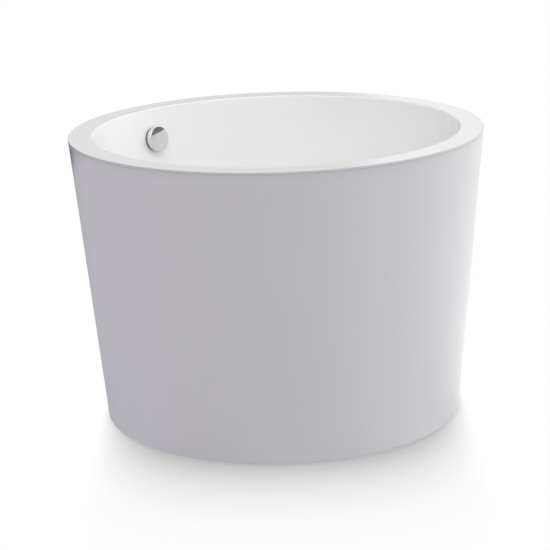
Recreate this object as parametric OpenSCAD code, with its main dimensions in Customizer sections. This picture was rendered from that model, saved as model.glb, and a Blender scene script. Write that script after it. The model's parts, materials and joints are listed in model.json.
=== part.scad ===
// Round free-standing bathtub: a double-walled acrylic tub with a twist-knob pop-up waste.
// Millimetres, +Z up. The origin is on the floor under the middle, and the overflow is at +Y.

/* [Shell] */
// Outside diameter of the rim
tub_d = 1050; // [1020:10:1140]
// Outside diameter that the skirt's taper reaches at the floor
base_d = 920; // [890:10:950]
// Height from the floor to the top of the rim
tub_h = 735; // [725:5:785]
// Width of the flat rim, from its outer edge to the well
rim_w = 60; // [54:1:66]
// Thickness of the rim
rim_t = 7; // [6:0.5:12]
// Radius of the rim's outer edge
rim_edge_r = 2; // [1:0.5:4]
// Radius of the edge where the rim turns down into the well
well_edge_r = 6; // [4:1:12]
// Depth of the well at the drain
basin_depth = 600; // [570:5:605]
// Slope of the well's wall from upright, in degrees
well_slope = 9; // [8:0.5:11]
// Radius between the well's wall and its floor
floor_r = 90; // [60:5:110]
// Fall of the floor from its edge to the drain
floor_fall = 5; // [3:1:10]
// Thickness of the basin, acrylic and laminate together
basin_t = 7; // [6:0.5:8]
// Thickness of the skirt
skirt_t = 5; // [4:0.5:6]
// Gap under the skirt's lower edge
skirt_gap = 3; // [1.5:0.5:5]
// Width of the skirt's flange under the rim
skirt_flange_w = 30; // [20:1:32]
// Thickness of the adhesive between the rim and the skirt
bond_t = 0.5; // [0.3:0.1:1.5]

/* [Underframe] */
// Thickness of the board bonded under the floor
board_t = 18; // [15:1:22]
// Distance of each support rail from the middle
rail_x = 200; // [170:5:215]
// Width of a support rail
rail_w = 40; // [36:1:45]
// Height of a support rail
rail_h = 25; // [23:1:27]
// Wall of a support rail
rail_t = 2; // [1.5:0.25:2.5]
// Height of the hoop inside the skirt's lower edge
hoop_h = 40; // [30:1:44]
// Thickness of that hoop
hoop_t = 18; // [12:1:22]
// Height of the hoop's lower face over the floor
hoop_z = 12; // [8:1:16]
// Width of a strap between a rail and the hoop
strap_w = 30; // [20:1:36]
// Thickness of a strap
strap_t = 4; // [3:0.5:5]
// Diameter of a foot's threaded stud
stud_d = 12; // [10:1:12]
// Diameter of a foot's pad
pad_d = 50; // [40:1:60]
// Height of a foot's pad
pad_h = 14; // [12:1:18]
// Height of each hexagon nut on a stud
nut_h = 10; // [8:0.5:10]

/* [Waste] */
// Diameter of the drain hole in the floor
waste_hole_d = 52; // [51:0.5:56]
// Outside diameter of the chrome drain flange
flange_d = 72; // [68:1:78]
// Diameter of the drain plug
plug_d = 56; // [52:1:60]
// Lift of the drain plug
plug_lift = 10; // [7:0.5:11]
// Radius of the lifting arm
lift_arm = 16; // [14:0.5:17]
// Radius of the cable arm
cable_arm = 17; // [15:0.5:18]
// Outside diameter of the waste outlet
outlet_d = 40; // [38:0.5:44]
// Height of the outlet's lower end over the floor
outlet_z = 20; // [10:1:30]

/* [Overflow] */
// Depth of the overflow's middle below the rim
overflow_drop = 80.5; // [74:0.5:100]
// Diameter of the overflow knob
knob_d = 65; // [63:0.5:70]
// Thickness of the overflow knob
knob_t = 16; // [12:0.5:20]
// Water gap between the knob and the rosette
knob_gap = 3; // [2:0.25:5]
// Thickness of the rosette against the wall
rosette_t = 4; // [3:0.25:5]
// Outside diameter of the overflow pipe
pipe_d = 30; // [28:0.5:31]
// Bend radius of the overflow pipe
pipe_bend = 60; // [45:5:80]
// Outside diameter of the cable's sheath
cable_d = 5; // [4:0.25:5.5]

/* [Hidden] */
$fn = 96;

// Where the four feet and straps are, as signs of X and Y
corner_names = ["front_left", "front_right", "rear_left", "rear_right"];
corner_signs = [[-1, -1], [1, -1], [-1, 1], [1, 1]];

acrylic = [0.94, 0.94, 0.95];
acrylic_outside = [0.83, 0.82, 0.86];
chrome = [0.78, 0.79, 0.80];
zinc = [0.66, 0.68, 0.70];
plywood = [0.72, 0.58, 0.40];
rubber = [0.10, 0.10, 0.11];
grey_plastic = [0.55, 0.57, 0.60];
white_plastic = [0.90, 0.90, 0.88];
black_plastic = [0.13, 0.13, 0.14];
resin = [0.86, 0.84, 0.76];

// Clearances
run_gap = 0.05;   // round a shaft that turns or slides
fit_gap = 0.3;    // round a piece that is bonded or screwed in place
bend_swell = 0.1; // how much thicker the wall of a pipe's bend is, on each side
bend_lap = 1;     // how far a pipe's straight stretch runs into its bend
arc_step = 7.5;   // degrees in each step of a rounded corner

// Shell
tub_r = tub_d / 2;
base_r = base_d / 2;
skirt_taper = atan((tub_r - base_r) / tub_h);
well_r = tub_r - rim_w;
floor_z = tub_h - basin_depth;
floor_edge_z = floor_z + floor_fall;
under_z = floor_z - basin_t;
skirt_top_z = tub_h - rim_t - bond_t;
seam_recess = 1;
function skirt_out(z) = base_r + (tub_r - base_r) * z / tub_h;
function skirt_in(z) = skirt_out(z) - skirt_t / cos(skirt_taper);
function well_in(z) = well_r - (tub_h - z) * tan(well_slope);
function well_out(z) = well_in(z) + basin_t / cos(well_slope);

// Drain recess, flange and gaskets
waste_hole_r = waste_hole_d / 2;
flange_r = flange_d / 2;
plug_r = plug_d / 2;
recess_d = 5;
recess_r = flange_r + 5;
recess_under_z = under_z - recess_d;
flange_t = 4;
flange_gasket_t = recess_d - flange_t;
body_gasket_t = 3;
sleeve_r = waste_hole_r - 1;
sleeve_t = 3;
throat_r = sleeve_r - sleeve_t;
seat_top_r = flange_r - 5;
seat_low_r = throat_r + 1;
seat_fall = 5;

// Waste body
body_top_z = recess_under_z - body_gasket_t;
body_wall = 3;
chamber_r = 38;
chamber_top_z = body_top_z - 16;
chamber_h = 42;
chamber_z = chamber_top_z - chamber_h;
body_r = chamber_r + body_wall;
outlet_r = outlet_d / 2;
sleeve_low_z = chamber_top_z + 1;
seat_low_z = floor_z - seat_fall;
neck_r = sleeve_r + 4;
body_flange_r = recess_r + 1;
body_flange_t = 4;
guide_r = 8;
guide_h = 6;
guide_rib_t = 2.5;
function seat_at(z) = seat_low_r + (seat_top_r - seat_low_r) * (z - seat_low_z) / seat_fall;

// Plug
plug_seal_t = 3;
plug_z = seat_low_z + plug_seal_t + 0.8;
plug_t = 5;
collar_r = 14;
collar_h = 2.5;

// Lifting lever inside the waste body
lever_z = chamber_z + chamber_h / 2 + 1;
lever_tip_r = 3;
lever_tilt = asin(plug_lift / 2 / lift_arm);
stem_r = 4;
stem_low_z = lever_z - plug_lift / 2 + lever_tip_r + fit_gap;
lever_y = -lift_arm * (1 + cos(lever_tilt)) / 2;
pin_r = 2;
pin_half = sqrt(pow(body_r, 2) - pow(lever_y, 2)) - 0.5;
hub_r = 5;
hub_low = 8;
lift_arm_w = 8;
lift_arm_t = 3.5;
cable_arm_w = 5;

// Overflow, in a frame whose Z runs out of the well's wall into the well
land_sink = 0.4;
overflow_z = tub_h - overflow_drop;
knob_r = knob_d / 2;
rosette_r = knob_r - 1;
land_r = rosette_r + 1.5;
wall_hole_r = 26;
overflow_gasket_t = 3;
body_front_w = -basin_t - overflow_gasket_t;
cup_r = 29;
cup_wall = 3;
body_lip_r = wall_hole_r + 7;
spindle_r = 4;
knob_hub_r = 9;
knob_dome = 1;
knob_edge_r = 1.2;
dome_steps = 10;
dome_ball_r = (pow(knob_r, 2) + pow(knob_dome, 2)) / (2 * knob_dome);
function knob_face(r) = [r, knob_t - dome_ball_r + sqrt(pow(dome_ball_r, 2) - r * r), 0];
grub_w = 6;
grub_r = 2;
rosette_hub_r = 8;
rosette_hub_l = 8;
slot_out_r = 23;
slot_span = 30;
slot_step = 38;
back_hub_l = 3;
screw_l = 26;
screw_sink = 2.2;
drum_w = 14;
screw_r = 2.5;
screw_boss_r = 5.5;
screw_x = cup_r - cup_wall - screw_boss_r + 0.5;

// Overflow pipe and its screwed ends
pipe_r = pipe_d / 2;
pipe_wall = 2;
pipe_bore_r = pipe_r - pipe_wall;
socket_r = pipe_r + 0.2;
spigot_r = socket_r + 2.3;
pipe_nut_r = spigot_r + 2.5;
socket_depth = 12;
pipe_nut_l = 16;
pipe_w = -(basin_t + pipe_nut_r + 1);
cup_back_w = pipe_w - pipe_bore_r - 0.5 - cup_wall;
spigot_end_v = -50;
inlet_end_y = body_r + 23;
inlet_z = chamber_z + chamber_h / 2;

// Cable
cable_r = cable_d / 2;
cable_x = pipe_nut_r + cable_r + 2.5;
gland_r = cable_r + 2.5;
gland_end_v = -36;
gland_end_y = body_r + 8;
gland_bore = 10;
cable_z = lever_z - cable_arm;
cable_bend = 50;
wire_r = 1.2;
clip_w = 8;
clip_t = 2;
wall_clip_vs = [-140, -270, -400];
floor_clip_ys = [150, 270];
drum_r = cable_arm * 2 * lever_tilt / 90;

// Underframe
board_r = well_in(floor_edge_z) - floor_r + 10;
board_hole_r = recess_r + recess_d + 6;
rail_top_z = under_z - board_t;
rail_z = rail_top_z - rail_h;
hoop_top_z = hoop_z + hoop_h;
hoop_out_low = skirt_in(hoop_z) - fit_gap;
hoop_in = hoop_out_low - hoop_t;
rail_half = sqrt(pow(hoop_in - 28, 2) - pow(rail_x + rail_w / 2, 2));
foot_y = rail_half - 75;
strap_y = rail_half - 20;
strap_r = norm([rail_x, strap_y]);
stud_r = stud_d / 2;
stud_low_z = 4;
stud_high_z = rail_top_z - rail_t - 5;
nut_r = stud_r * 1.7;
screw_ys = [-150, 0, 150];
wood_screw_r = 2.5;
rail_screw_l = rail_h + 14;
hoop_screw_l = 28;
hoop_screw_r = (hoop_in + 1 + strap_t + skirt_in(hoop_top_z) - 4) / 2;
bolt_r = 3;
bolt_head_h = 4;
cap_t = 2;
cap_wall = 2;
cap_plug_l = 12;
rail_bend = 1;
strap_bend = 3;

function unit(v) = v / norm(v);

// The points of an arc of radius r that rounds the corner at b between a and c
function corner_arc(a, b, c, r) =
    let (
        to_a = unit(a - b),
        to_c = unit(c - b),
        half = acos(to_a * to_c) / 2,
        middle = b + unit(to_a + to_c) * r / sin(half),
        first = b + to_a * r / tan(half) - middle,
        last = b + to_c * r / tan(half) - middle,
        start = atan2(first.y, first.x),
        sweep = (atan2(last.y, last.x) - start + 540) % 360 - 180,
        steps = ceil(abs(sweep) / arc_step)
    )
    [for (i = [0 : steps]) middle + r * [cos(start + sweep * i / steps), sin(start + sweep * i / steps)]];

// An outline from corners given as [x, y, radius]
function rounded(corners) =
    let (n = len(corners), p = [for (c = corners) [c.x, c.y]])
    [for (i = [0 : n - 1])
        each corners[i].z > 0 ? corner_arc(p[(i + n - 1) % n], p[i], p[(i + 1) % n], corners[i].z) : [p[i]]];

module turned(corners) {
    rotate_extrude() polygon(rounded(corners));
}

module ring(outer, inner, height) {
    difference() {
        cylinder(r = outer, h = height);
        translate([0, 0, -1]) cylinder(r = inner, h = height + 2);
    }
}

// A hexagon nut of thread radius r, measured across its corners as 2 * outer
module hex_nut(outer, r, height) {
    difference() {
        cylinder(r = outer, h = height, $fn = 6);
        translate([0, 0, -1]) cylinder(r = r + run_gap, h = height + 2);
    }
}

// Puts a child on the well's wall at the overflow: X across, Y up the wall, Z into the well
module on_wall() {
    translate([0, well_in(overflow_z), overflow_z])
        rotate([90 - well_slope, 0, 0])
            translate([0, 0, -land_sink]) children();
}

// Puts a child on a line that runs down the wall at [x, v] of that frame, with Z pointing down
module down_wall(x, v) {
    on_wall() translate([x, v, pipe_w]) rotate([90, 0, 0]) children();
}

// Puts a child at the waste body's side, with Z pointing along +Y
module along_y(x, y, z) {
    translate([x, y, z]) rotate([-90, 0, 0]) children();
}

// The point [y, z] of a line down the wall, v along it from the overflow's middle
function wall_line(v) =
    [well_in(overflow_z) + v * sin(well_slope) - (pipe_w - land_sink) * cos(well_slope),
     overflow_z + v * cos(well_slope) + (pipe_w - land_sink) * sin(well_slope)];

// Where the line down the wall reaches the height z
function wall_corner(z) =
    let (p = wall_line(0))
    [p.x - (p.y - z) * tan(well_slope), z];

// A tube in a plane of constant x: down the wall from v, round one bend, and along Y to y_end at height z.
// The bend's wall is a little thicker, and the straight stretches end inside it.
module wall_run(x, v, z, y_end, bend, outer, inner) {
    start = wall_line(v);
    corner = wall_corner(z);
    turn = 90 - well_slope;
    reach = bend * tan(turn / 2);
    upper = corner + unit(start - corner) * reach;
    lower = corner - [reach, 0];
    straight = norm(start - upper) + bend_lap;
    translate([x, 0, 0]) {
        translate([0, start.x, start.y]) rotate([180 - well_slope, 0, 0]) pipe_ring(straight, outer, inner);
        along_y(0, y_end, z) pipe_ring(lower.x + bend_lap - y_end, outer, inner);
        translate([0, lower.x, z + bend]) rotate([0, 90, 0]) rotate_extrude(angle = turn)
            translate([bend, 0]) pipe_section(outer + bend_swell, inner - bend_swell);
    }
}

module pipe_section(outer, inner) {
    difference() {
        circle(r = outer);
        if (inner > 0) circle(r = inner);
    }
}

module pipe_ring(length, outer, inner) {
    linear_extrude(height = length) pipe_section(outer, inner);
}

// The nut of a screwed pipe end: Z points away from the fitting, and 0 is the spigot's end face
module pipe_nut() {
    difference() {
        translate([0, 0, -pipe_nut_l / 2]) cylinder(r = pipe_nut_r, h = pipe_nut_l, $fn = 12);
        translate([0, 0, -pipe_nut_l / 2 - 1]) cylinder(r = spigot_r + run_gap, h = pipe_nut_l / 2 + 5.5);
        translate([0, 0, -pipe_nut_l]) cylinder(r = pipe_r + fit_gap, h = 2 * pipe_nut_l);
    }
}

module pipe_seal() {
    ring(spigot_r, pipe_r + run_gap, 4);
}

module basin() {
    wall_corner_r = floor_r + basin_t;
    color(acrylic) difference() {
        union() {
            turned([
                [waste_hole_r, floor_z - recess_d, 0],
                [recess_r, floor_z - recess_d, 2],
                [recess_r + recess_d, floor_z, 3],
                [well_in(floor_edge_z), floor_edge_z, floor_r],
                [well_r, tub_h, well_edge_r],
                [tub_r, tub_h, rim_edge_r],
                [skirt_out(tub_h - rim_t), tub_h - rim_t, 1],
                [well_out(tub_h - rim_t), tub_h - rim_t, max(well_edge_r - basin_t, 4)],
                [well_out(under_z), under_z, wall_corner_r],
                [recess_r + recess_d + 3, under_z, 3],
                [recess_r + 3, recess_under_z, 2],
                [waste_hole_r, recess_under_z, 0]
            ]);
            on_wall() translate([0, 0, -basin_t]) cylinder(r = land_r, h = basin_t);
        }
        on_wall() cylinder(r = land_r, h = basin_t);
        on_wall() translate([0, 0, -2 * basin_t]) cylinder(r = wall_hole_r, h = 3 * basin_t);
    }
}

module skirt() {
    top = skirt_top_z;
    flange_in = skirt_out(top) - skirt_flange_w;
    color(acrylic_outside) turned([
        [skirt_out(skirt_gap), skirt_gap, 1.5],
        [skirt_out(top), top, 1],
        [flange_in, top, 1],
        [flange_in, top - skirt_t, 1],
        [skirt_in(top - skirt_t), top - skirt_t, 6],
        [skirt_in(skirt_gap), skirt_gap, 1.5]
    ]);
}

module rim_bond() {
    outer = skirt_out(skirt_top_z) - seam_recess;
    color(resin) translate([0, 0, skirt_top_z]) ring(outer, outer - skirt_flange_w + 3, bond_t);
}

module skirt_hoop() {
    color(plywood) difference() {
        turned([
            [hoop_in, hoop_z, 1],
            [hoop_out_low, hoop_z, 1],
            [skirt_in(hoop_top_z) - fit_gap, hoop_top_z, 1],
            [hoop_in, hoop_top_z, 1]
        ]);
        for (s = corner_signs) at_strap(s)
            translate([hoop_screw_r, 0, hoop_top_z + strap_t]) screw_hole(wood_screw_r, hoop_screw_l);
    }
}

module base_board() {
    color(plywood) difference() {
        translate([0, 0, rail_top_z]) ring(board_r, board_hole_r, board_t);
        for (side = [-1, 1], y = screw_ys) translate([side * rail_x, y, rail_z])
            cylinder(r = wood_screw_r + run_gap, h = rail_screw_l);
    }
}

// A bar along +Y with a rectangular section, centred on Y and rounded at its corners
module bar(w, h, r, length) {
    rotate([-90, 0, 0]) linear_extrude(height = length)
        polygon(rounded([[-w / 2, -h / 2, r], [w / 2, -h / 2, r], [w / 2, h / 2, r], [-w / 2, h / 2, r]]));
}

// A rail is a rectangular tube along Y, drilled for its board screws, strap bolts and feet
module rail(side) {
    color(zinc) translate([side * rail_x, 0, rail_z]) difference() {
        translate([0, -rail_half, rail_h / 2]) bar(rail_w, rail_h, rail_bend + rail_t, 2 * rail_half);
        translate([0, -rail_half - 1, rail_h / 2])
            bar(rail_w - 2 * rail_t, rail_h - 2 * rail_t, rail_bend, 2 * rail_half + 2);
        for (y = screw_ys) translate([0, y, -1]) cylinder(r = wood_screw_r + run_gap, h = rail_h + 2);
        for (y = [-foot_y, foot_y]) translate([0, y, -1]) cylinder(r = stud_r + fit_gap, h = rail_t + 2);
        for (y = [-strap_y, strap_y]) translate([0, y, -1]) cylinder(r = bolt_r + run_gap, h = rail_t + 2);
    }
}

module rail_end_caps() {
    plug_w = rail_w - 2 * rail_t - fit_gap;
    plug_h = rail_h - 2 * rail_t - fit_gap;
    color(black_plastic) for (side = [-1, 1], turn = [0, 180])
        translate([side * rail_x, 0, rail_z + rail_h / 2]) rotate([0, 0, turn]) translate([0, rail_half, 0]) {
            bar(rail_w, rail_h, rail_bend + rail_t, cap_t);
            difference() {
                translate([0, -cap_plug_l, 0]) bar(plug_w, plug_h, rail_bend, cap_plug_l + 1);
                translate([0, -cap_plug_l - 1, 0])
                    bar(plug_w - 2 * cap_wall, plug_h - 2 * cap_wall, rail_bend, cap_plug_l + 1);
            }
        }
}

// A screw's hole, which runs down from Z = 0
module screw_hole(r, length) {
    translate([0, 0, -length - 1]) cylinder(r = r + run_gap, h = length + 2);
}

// A screw whose round head stands on Z = 0, with its shank below
module screw(r, length, head_r, head_h) {
    translate([0, 0, -length]) cylinder(r = r, h = length + head_h / 2);
    difference() {
        cylinder(r1 = head_r, r2 = head_r * 0.6, h = head_h);
        translate([0, 0, head_h / 2]) cylinder(r = r * 0.8, h = head_h, $fn = 6);
    }
}

module rail_screws() {
    color(zinc) for (side = [-1, 1], y = screw_ys) translate([side * rail_x, y, rail_z]) mirror([0, 0, 1])
        screw(wood_screw_r, rail_screw_l - 1, 5, 3);
}

module rail_weld_nuts() {
    color(zinc) for (s = corner_signs) at_foot(s) translate([0, 0, rail_z - nut_h])
        hex_nut(nut_r, stud_r, nut_h);
}

module foot_lock_nuts() {
    color(zinc) for (s = corner_signs) at_foot(s) translate([0, 0, rail_z - 2 * nut_h])
        hex_nut(nut_r, stud_r, nut_h - 0.1);
}

module at_foot(s) {
    translate([s.x * rail_x, s.y * foot_y, 0]) children();
}

// A foot's stud has a hexagon collar just over the pad, for a spanner
module foot_stud(s) {
    color(zinc) at_foot(s) {
        translate([0, 0, stud_low_z]) cylinder(r = stud_r, h = stud_high_z - stud_low_z);
        translate([0, 0, pad_h]) cylinder(r = nut_r, h = nut_h, $fn = 6);
    }
}

module foot_pad(s) {
    pad_r = pad_d / 2;
    color(black_plastic) at_foot(s) difference() {
        turned([
            [0, 0, 0],
            [pad_r - 1.5, 0, 0],
            [pad_r, 1.5, 0],
            [pad_r, 5, 2],
            [nut_r + 2, pad_h - 2, 2],
            [nut_r + 2, pad_h, 0.5],
            [0, pad_h, 0]
        ]);
        translate([0, 0, stud_low_z]) cylinder(r = stud_r + run_gap, h = pad_h);
    }
}

// Puts a child over the line from the middle to a strap's bolt, with +X outwards
module at_strap(s) {
    rotate([0, 0, atan2(s.y * strap_y, s.x * rail_x)]) children();
}

// A strap runs out under its rail, down, and out again over the hoop
module skirt_strap(s) {
    inner = strap_r - strap_w / 2;
    step = hoop_in + 1;
    outer = skirt_in(hoop_top_z) - 4;
    color(zinc) at_strap(s) difference() {
        translate([0, strap_w / 2, 0]) rotate([90, 0, 0]) linear_extrude(height = strap_w) polygon(rounded([
            [inner, rail_z - strap_t, 0],
            [step, rail_z - strap_t, strap_bend],
            [step, hoop_top_z, strap_bend + strap_t],
            [outer, hoop_top_z, 0],
            [outer, hoop_top_z + strap_t, 0],
            [step + strap_t, hoop_top_z + strap_t, strap_bend],
            [step + strap_t, rail_z, strap_bend + strap_t],
            [inner, rail_z, 0]
        ]));
        translate([strap_r, 0, rail_z - strap_t - 1]) cylinder(r = bolt_r + run_gap, h = strap_t + 2);
        translate([hoop_screw_r, 0, hoop_top_z + strap_t]) screw_hole(wood_screw_r, hoop_screw_l);
    }
}

module strap_bolts() {
    color(zinc) for (s = corner_signs) at_strap(s) translate([strap_r, 0, 0]) {
        translate([0, 0, rail_z - strap_t - bolt_head_h]) cylinder(r = 5.8, h = bolt_head_h, $fn = 6);
        translate([0, 0, rail_z - strap_t - 0.5]) cylinder(r = bolt_r, h = strap_t + rail_t + 8);
        translate([0, 0, rail_z + rail_t]) cylinder(r = 5.8, h = 5, $fn = 6);
    }
}

module hoop_screws() {
    color(zinc) for (s = corner_signs) at_strap(s)
        translate([hoop_screw_r, 0, hoop_top_z + strap_t]) screw(wood_screw_r, hoop_screw_l, 4.5, 2.5);
}

// The drain's flange: a rim in the recess, a cone that the plug seals on, and a sleeve
module drain_flange() {
    color(chrome) turned([
        [throat_r, sleeve_low_z, 0],
        [sleeve_r, sleeve_low_z, 0],
        [sleeve_r, floor_z - flange_t, 0],
        [flange_r, floor_z - flange_t, 0],
        [flange_r, floor_z, 1.5],
        [seat_top_r, floor_z, 0.6],
        [seat_low_r, seat_low_z, 0],
        [throat_r, seat_low_z, 0]
    ]);
}

module flange_gasket() {
    color(rubber) translate([0, 0, floor_z - recess_d]) ring(flange_r - 1, waste_hole_r, flange_gasket_t);
}

module body_gasket() {
    color(rubber) translate([0, 0, body_top_z]) ring(body_flange_r, waste_hole_r, body_gasket_t);
}

// The waste's body is a chamber with a neck, an outlet, an inlet, a gland for the cable and a guide for the stem
module waste_body() {
    color(white_plastic) {
        waste_housing();
        translate([0, 0, chamber_top_z - guide_h]) {
            ring(guide_r, stem_r + run_gap, guide_h);
            for (a = [30, 150, 270]) rotate([0, 0, a]) translate([guide_r - 1, -guide_rib_t / 2, 0])
                cube([neck_r - guide_r + 1, guide_rib_t, guide_h + 1]);
        }
    }
}

module waste_housing() {
    difference() {
        union() {
            translate([0, 0, chamber_z - body_wall]) cylinder(r = body_r, h = chamber_h + 2 * body_wall);
            translate([0, 0, chamber_top_z]) cylinder(r = neck_r, h = body_top_z - chamber_top_z);
            translate([0, 0, body_top_z - body_flange_t]) cylinder(r = body_flange_r, h = body_flange_t);
            translate([0, 0, outlet_z]) cylinder(r = outlet_r, h = chamber_z - outlet_z);
            along_y(0, 0, inlet_z) cylinder(r = spigot_r, h = inlet_end_y);
            along_y(cable_x, 0, cable_z) cylinder(r = gland_r, h = gland_end_y);
        }
        translate([0, 0, chamber_z]) cylinder(r = chamber_r, h = chamber_h);
        translate([0, 0, chamber_top_z - 1]) cylinder(r = sleeve_r + run_gap, h = body_top_z);
        translate([0, 0, outlet_z - 1]) cylinder(r = outlet_r - body_wall, h = chamber_z);
        along_y(0, chamber_r - 10, inlet_z) cylinder(r = pipe_bore_r, h = inlet_end_y);
        along_y(0, inlet_end_y - socket_depth, inlet_z) cylinder(r = socket_r, h = socket_depth + 1);
        along_y(cable_x, 0, cable_z) cylinder(r = wire_r, h = gland_end_y);
        along_y(cable_x, gland_end_y - gland_bore, cable_z)
            cylinder(r = cable_r + run_gap, h = gland_bore + 1);
        translate([-body_r, lever_y, lever_z]) rotate([0, 90, 0]) cylinder(r = pin_r, h = 2 * body_r);
    }
}

module inlet_nut() {
    color(grey_plastic) along_y(0, inlet_end_y, inlet_z) pipe_nut();
}

module inlet_seal() {
    color(rubber) along_y(0, inlet_end_y, inlet_z) pipe_seal();
}

// The plug's cap, with a blind hole for its stem
module drain_plug() {
    color(chrome) difference() {
        turned([
            [0, plug_z, 0],
            [plug_r - 1, plug_z, 0],
            [plug_r, plug_z + 1, 0],
            [plug_r, plug_z + 2.2, 1],
            [plug_r - 5, plug_z + 4.2, 6],
            [0, plug_z + plug_t, 0]
        ]);
        translate([0, 0, plug_z - 1]) cylinder(r = stem_r + run_gap, h = 3);
    }
}

module plug_seal() {
    low_z = plug_z - plug_seal_t;
    color(rubber) rotate_extrude() polygon([
        [stem_r + run_gap, low_z],
        [seat_at(low_z) - 0.4, low_z],
        [seat_at(plug_z - 0.5) - 0.4, plug_z - 0.5],
        [plug_r - 1, plug_z],
        [stem_r + run_gap, plug_z]
    ]);
}

// The stem, with the collar that holds the seal against the cap
module plug_stem() {
    color(chrome) {
        translate([0, 0, stem_low_z]) cylinder(r = stem_r, h = plug_z + 2 - stem_low_z);
        translate([0, 0, plug_z - plug_seal_t - collar_h]) cylinder(r = collar_r, h = collar_h);
    }
}

// The lever is a hub on a pin, with an arm under the stem and an arm that the cable pulls, drawn at rest
module lift_lever() {
    color(white_plastic) translate([0, lever_y, lever_z]) rotate([-lever_tilt, 0, 0]) difference() {
        union() {
            translate([-hub_low, 0, 0]) rotate([0, 90, 0])
                cylinder(r = hub_r, h = hub_low + cable_x + cable_arm_w / 2);
            translate([-lift_arm_w / 2, 0, -lever_tip_r]) cube([lift_arm_w, lift_arm, lift_arm_t]);
            translate([-lift_arm_w / 2, lift_arm, 0]) rotate([0, 90, 0])
                cylinder(r = lever_tip_r, h = lift_arm_w);
            translate([cable_x - cable_arm_w / 2, 1 - hub_r, -cable_arm])
                cube([cable_arm_w, 2 * hub_r - 2, cable_arm]);
            translate([cable_x - cable_arm_w / 2, 0, -cable_arm]) rotate([0, 90, 0])
                cylinder(r = hub_r - 1, h = cable_arm_w);
        }
        translate([-body_r, 0, 0]) rotate([0, 90, 0]) cylinder(r = pin_r + run_gap, h = 2 * body_r);
        translate([cable_x, 0, -cable_arm]) rotate([0, 90, 0])
            cylinder(r = 1.5, h = 2 * cable_arm_w, center = true);
    }
}

module lever_pin() {
    color(zinc) translate([-pin_half, lever_y, lever_z]) rotate([0, 90, 0])
        cylinder(r = pin_r, h = 2 * pin_half);
}

// The knob is a hollow disc on a hub, with a hole in its underside for a key to reach the grub screw
module overflow_knob() {
    back = rosette_t + knob_gap;
    hollow = knob_t - 4;
    color(chrome) on_wall() difference() {
        translate([0, 0, back]) turned([
            [0, 0, 0],
            [knob_r - 0.5, 0, 0.4],
            [knob_r, 1.5, 0.8],
            [knob_r, knob_t - knob_dome, knob_edge_r],
            for (i = [1 : dome_steps]) knob_face(knob_r * (1 - i / dome_steps))
        ]);
        translate([0, 0, back - 1]) ring(knob_r - 3.5, knob_hub_r, hollow + 1);
        translate([0, 0, back - 1]) cylinder(r = spindle_r + run_gap, h = hollow + 1);
        translate([0, 0, back + grub_w]) rotate([90, 0, 0]) cylinder(r = grub_r + run_gap, h = knob_r + 1);
    }
}

module knob_grub_screw() {
    color(zinc) on_wall() translate([0, 0, rosette_t + knob_gap + grub_w]) rotate([90, 0, 0])
        translate([0, 0, spindle_r]) difference() {
            cylinder(r = grub_r, h = knob_hub_r - spindle_r - 0.5);
            translate([0, 0, 2]) cylinder(r = grub_r * 0.55, h = knob_hub_r, $fn = 6);
        }
}

module knob_spindle() {
    low = cup_back_w + cup_wall + 1;
    high = rosette_t + knob_gap + knob_t - 6;
    color(zinc) on_wall() translate([0, 0, low]) cylinder(r = spindle_r, h = high - low);
}

// The drum that winds the cable in, with a groove between two flanges
module cable_drum() {
    color(black_plastic) on_wall() translate([0, 0, pipe_w]) rotate_extrude() polygon([
        [spindle_r + run_gap, -drum_w / 2],
        [drum_r + 3, -drum_w / 2],
        [drum_r + 3, -drum_w / 2 + 2],
        [drum_r, -drum_w / 2 + 3],
        [drum_r, drum_w / 2 - 3],
        [drum_r + 3, drum_w / 2 - 2],
        [drum_r + 3, drum_w / 2],
        [spindle_r + run_gap, drum_w / 2]
    ]);
}

// The rosette covers the hole in the wall, lets the water in through curved slots and carries the spindle
module overflow_rosette() {
    color(grey_plastic) on_wall() difference() {
        union() {
            turned([[0, 0, 0], [rosette_r, 0, 0.3], [rosette_r, rosette_t, 1.2], [0, rosette_t, 0]]);
            translate([0, 0, -rosette_hub_l]) cylinder(r = rosette_hub_r, h = rosette_hub_l + 1);
        }
        translate([0, 0, -rosette_hub_l - 1]) cylinder(r = spindle_r + run_gap, h = rosette_hub_l + knob_t);
        for (x = [-screw_x, screw_x]) translate([x, 0, -1]) {
            cylinder(r = screw_r + run_gap, h = rosette_t + 2);
            translate([0, 0, rosette_t - screw_sink + 1]) cylinder(r1 = screw_r, r2 = screw_r + 3, h = 3);
        }
        for (side = [-1, 1], slot = [-1, 0, 1]) rotate([0, 0, side * 90 + slot * slot_step - slot_span / 2])
            translate([0, 0, -1]) rotate_extrude(angle = slot_span)
                translate([rosette_hub_r + 1.5, 0]) square([slot_out_r - rosette_hub_r - 1.5, rosette_t + 2]);
    }
}

module overflow_screws() {
    color(zinc) on_wall() for (x = [-screw_x, screw_x]) translate([x, 0, 0]) {
        translate([0, 0, -screw_l]) cylinder(r = screw_r, h = screw_l + rosette_t - screw_sink);
        translate([0, 0, rosette_t - screw_sink]) difference() {
            cylinder(r1 = screw_r, r2 = screw_r + 2, h = 2);
            translate([0, 0, 1]) cylinder(r = screw_r * 0.6, h = 2, $fn = 6);
        }
    }
}

module overflow_gasket() {
    color(rubber) on_wall() translate([0, 0, body_front_w])
        ring(body_lip_r - 0.5, wall_hole_r, overflow_gasket_t);
}

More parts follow.
